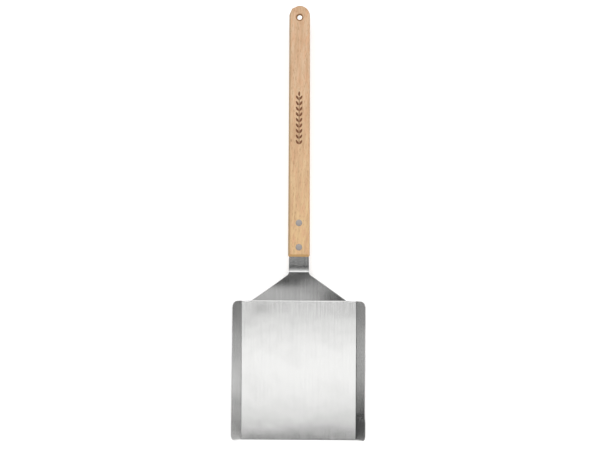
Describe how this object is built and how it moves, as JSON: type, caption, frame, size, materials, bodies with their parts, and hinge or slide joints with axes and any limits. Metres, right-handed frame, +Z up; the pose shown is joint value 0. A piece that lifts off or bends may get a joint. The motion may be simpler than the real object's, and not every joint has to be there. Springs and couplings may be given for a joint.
{
  "type": "grill spatula",
  "caption": "Long-handled grill spatula: a wide flat stainless blade with turned-up sides and a cranked neck, riveted into a straight beech handle with a hanging hole.",
  "frame": {"origin": "middle of the flat underside of the pan", "axes": "+Y along the spatula from the front edge to the handle, +Z up from the underside to the side that carries food, +X to the right when looking from the front edge towards the handle"},
  "size_m": [0.15, 0.482, 0.0608],
  "materials": {
    "blade_steel": "satin, brushed lengthwise",
    "beech": "sanded and lightly oiled",
    "rivet_steel": "satin"
  },
  "bodies": {
    "root": {"blade": "blade_steel", "handle": "beech", "front_rivet_female": "rivet_steel", "front_rivet_male": "rivet_steel", "rear_rivet_female": "rivet_steel", "rear_rivet_male": "rivet_steel"}
  },
  "joints": []
}
